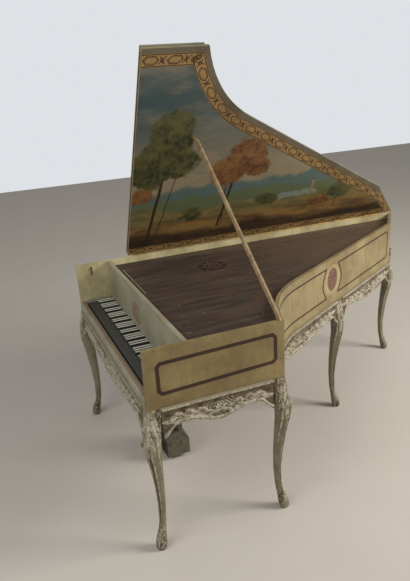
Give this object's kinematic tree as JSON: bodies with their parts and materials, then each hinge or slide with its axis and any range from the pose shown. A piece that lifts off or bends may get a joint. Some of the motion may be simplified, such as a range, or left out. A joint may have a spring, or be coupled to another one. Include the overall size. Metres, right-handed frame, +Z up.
{
  "type": "grand piano",
  "caption": "Grand piano with a painted case, opening lid on a prop stick, carved stand on cabriole legs, keys that press and a pedal box.",
  "frame": {"origin": "middle of the bounding box's base, on the floor", "axes": "+X from the spine to the treble side, +Y from the keyboard to the tail, +Z up"},
  "size_m": [1.3626, 2.3312, 2.1706],
  "materials": {
    "painted_case": "painted and varnished",
    "painted_board": "painted and varnished",
    "carved_stand": "carved gesso over painted wood",
    "lid_paint": "painted panel with a gold border",
    "plain_wood": "planed",
    "cover_wood": "dark varnish",
    "soundboard_wood": "thin varnish",
    "iron": "bronzed",
    "steel": "drawn",
    "brass": "worn polish",
    "black_keys": "ebony, polished by use",
    "bone_keys": "bone slips on black wood",
    "prop_wood": "waxed",
    "black_lacquer": "black varnish"
  },
  "bodies": {
    "case": {"spine": "painted_case", "tail": "painted_case", "bentside": "painted_case", "cheek": "painted_case", "nameboard": "painted_board", "keyslip": "painted_board", "key_block_bass": "painted_board", "key_block_treble": "painted_board", "front_apron": "carved_stand", "cheek_apron": "carved_stand", "bentside_front_apron": "carved_stand", "bentside_rear_apron": "carved_stand", "spine_apron": "carved_stand", "front_bass_leg": "carved_stand", "front_treble_leg": "carved_stand", "cheek_rear_leg": "carved_stand", "bentside_leg": "carved_stand", "tail_leg": "carved_stand", "bottom_board": "plain_wood", "keybed": "plain_wood", "belly_rail": "plain_wood", "spine_liner": "plain_wood", "bentside_liner": "plain_wood", "bridge": "plain_wood", "wrest_plank": "plain_wood", "cover_board": "cover_wood", "soundboard": "soundboard_wood", "iron_frame": "iron", "strings": "steel", "pedal_axle": "steel", "lid_hinge_case": "brass", "pedal_box": "black_lacquer", "lyre_panel": "black_lacquer"},
    "lid": {"lid": "lid_paint", "lid_hinge_lid": "brass", "flap_hinge_lid": "brass", "prop_bracket": "brass"},
    "front_flap": {"front_flap": "lid_paint", "flap_hinge_flap": "brass"},
    "prop_stick": {"prop_stick": "prop_wood"},
    "key_frame": {"key_frame": "plain_wood", "bass_keys": "black_keys", "treble_keys": "black_keys"},
    "pedal_left": {"pedal_left": "brass"},
    "pedal_right": {"pedal_right": "brass"},
    "rod_left": {"pedal_rod_left": "steel"},
    "rod_right": {"pedal_rod_right": "steel"},
    "damper_rail": {"damper_rail": "plain_wood"},
    "key_c": {"key_c": "black_keys"},
    "key_c_sharp": {"key_c_sharp": "bone_keys"},
    "key_d": {"key_d": "black_keys"},
    "key_d_sharp": {"key_d_sharp": "bone_keys"},
    "key_e": {"key_e": "black_keys"},
    "key_f": {"key_f": "black_keys"},
    "key_f_sharp": {"key_f_sharp": "bone_keys"},
    "key_g": {"key_g": "black_keys"},
    "key_g_sharp": {"key_g_sharp": "bone_keys"},
    "key_a": {"key_a": "black_keys"},
    "key_a_sharp": {"key_a_sharp": "bone_keys"},
    "key_b": {"key_b": "black_keys"}
  },
  "joints": [
    {"name": "lid_hinge", "type": "hinge", "parent": "case", "child": "lid", "pos_m": [-0.65043, 0, 1.0003], "axis": [0, 1, 0], "range_deg": [0, 61.8]},
    {"name": "flap_hinge", "type": "hinge", "parent": "lid", "child": "front_flap", "pos_m": [-0.6659, -0.82164, 1.01313], "axis": [0.4726, 0, 0.8813], "range_deg": [0, 180]},
    {"name": "prop_swing", "type": "hinge", "parent": "lid", "child": "prop_stick", "pos_m": [-0.2639, -0.48014, 1.68944], "axis": [-0.4299, -0.6253, 0.6513], "range_deg": [0, 197.2]},
    {"name": "key_shift", "type": "slide", "parent": "case", "child": "key_frame", "axis": [1, 0, 0], "range_m": [0, 0.00252]},
    {"name": "pedal_left_press", "type": "hinge", "parent": "case", "child": "pedal_left", "pos_m": [-0.07643, -0.84014, 0.06], "axis": [1, 0, 0], "range_deg": [0, 5.7], "stiffness_Nm_per_rad": 8, "springref_deg": -8.59},
    {"name": "pedal_right_press", "type": "hinge", "parent": "case", "child": "pedal_right", "pos_m": [-0.01643, -0.84014, 0.06], "axis": [1, 0, 0], "range_deg": [0, 5.7], "stiffness_Nm_per_rad": 8, "springref_deg": -8.59},
    {"name": "rod_left_lift", "type": "slide", "parent": "case", "child": "rod_left", "axis": [0, 0, 1], "range_m": [0, 0.0073]},
    {"name": "rod_right_lift", "type": "slide", "parent": "case", "child": "rod_right", "axis": [0, 0, 1], "range_m": [0, 0.0073]},
    {"name": "damper_lift", "type": "slide", "parent": "case", "child": "damper_rail", "axis": [0, 0, 1], "range_m": [0, 0.0073]},
    {"name": "key_c_press", "type": "hinge", "parent": "key_frame", "child": "key_c", "pos_m": [-0.09668, -0.91514, 0.748], "axis": [1, 0, 0], "range_deg": [0, 2.7], "stiffness_Nm_per_rad": 0.6, "springref_deg": -9.17},
    {"name": "key_c_sharp_press", "type": "hinge", "parent": "key_frame", "child": "key_c_sharp", "pos_m": [-0.08493, -0.91514, 0.748], "axis": [1, 0, 0], "range_deg": [0, 2.7], "stiffness_Nm_per_rad": 0.6, "springref_deg": -9.17},
    {"name": "key_d_press", "type": "hinge", "parent": "key_frame", "child": "key_d", "pos_m": [-0.07318, -0.91514, 0.748], "axis": [1, 0, 0], "range_deg": [0, 2.7], "stiffness_Nm_per_rad": 0.6, "springref_deg": -9.17},
    {"name": "key_d_sharp_press", "type": "hinge", "parent": "key_frame", "child": "key_d_sharp", "pos_m": [-0.06143, -0.91514, 0.748], "axis": [1, 0, 0], "range_deg": [0, 2.7], "stiffness_Nm_per_rad": 0.6, "springref_deg": -9.17},
    {"name": "key_e_press", "type": "hinge", "parent": "key_frame", "child": "key_e", "pos_m": [-0.04968, -0.91514, 0.748], "axis": [1, 0, 0], "range_deg": [0, 2.7], "stiffness_Nm_per_rad": 0.6, "springref_deg": -9.17},
    {"name": "key_f_press", "type": "hinge", "parent": "key_frame", "child": "key_f", "pos_m": [-0.02618, -0.91514, 0.748], "axis": [1, 0, 0], "range_deg": [0, 2.7], "stiffness_Nm_per_rad": 0.6, "springref_deg": -9.17},
    {"name": "key_f_sharp_press", "type": "hinge", "parent": "key_frame", "child": "key_f_sharp", "pos_m": [-0.01443, -0.91514, 0.748], "axis": [1, 0, 0], "range_deg": [0, 2.7], "stiffness_Nm_per_rad": 0.6, "springref_deg": -9.17},
    {"name": "key_g_press", "type": "hinge", "parent": "key_frame", "child": "key_g", "pos_m": [-0.00268, -0.91514, 0.748], "axis": [1, 0, 0], "range_deg": [0, 2.7], "stiffness_Nm_per_rad": 0.6, "springref_deg": -9.17},
    {"name": "key_g_sharp_press", "type": "hinge", "parent": "key_frame", "child": "key_g_sharp", "pos_m": [0.00907, -0.91514, 0.748], "axis": [1, 0, 0], "range_deg": [0, 2.7], "stiffness_Nm_per_rad": 0.6, "springref_deg": -9.17},
    {"name": "key_a_press", "type": "hinge", "parent": "key_frame", "child": "key_a", "pos_m": [0.02082, -0.91514, 0.748], "axis": [1, 0, 0], "range_deg": [0, 2.7], "stiffness_Nm_per_rad": 0.6, "springref_deg": -9.17},
    {"name": "key_a_sharp_press", "type": "hinge", "parent": "key_frame", "child": "key_a_sharp", "pos_m": [0.03257, -0.91514, 0.748], "axis": [1, 0, 0], "range_deg": [0, 2.7], "stiffness_Nm_per_rad": 0.6, "springref_deg": -9.17},
    {"name": "key_b_press", "type": "hinge", "parent": "key_frame", "child": "key_b", "pos_m": [0.04432, -0.91514, 0.748], "axis": [1, 0, 0], "range_deg": [0, 2.7], "stiffness_Nm_per_rad": 0.6, "springref_deg": -9.17}
  ],
  "couplings": [
    {"joint": "prop_swing", "follows": "lid_hinge", "ratio": 3.1885},
    {"joint": "rod_left_lift", "follows": "pedal_left_press", "m_per_rad": 0.072},
    {"joint": "key_shift", "follows": "pedal_left_press", "m_per_rad": 0.02513},
    {"joint": "rod_right_lift", "follows": "pedal_right_press", "m_per_rad": 0.072},
    {"joint": "damper_lift", "follows": "pedal_right_press", "m_per_rad": 0.072}
  ]
}
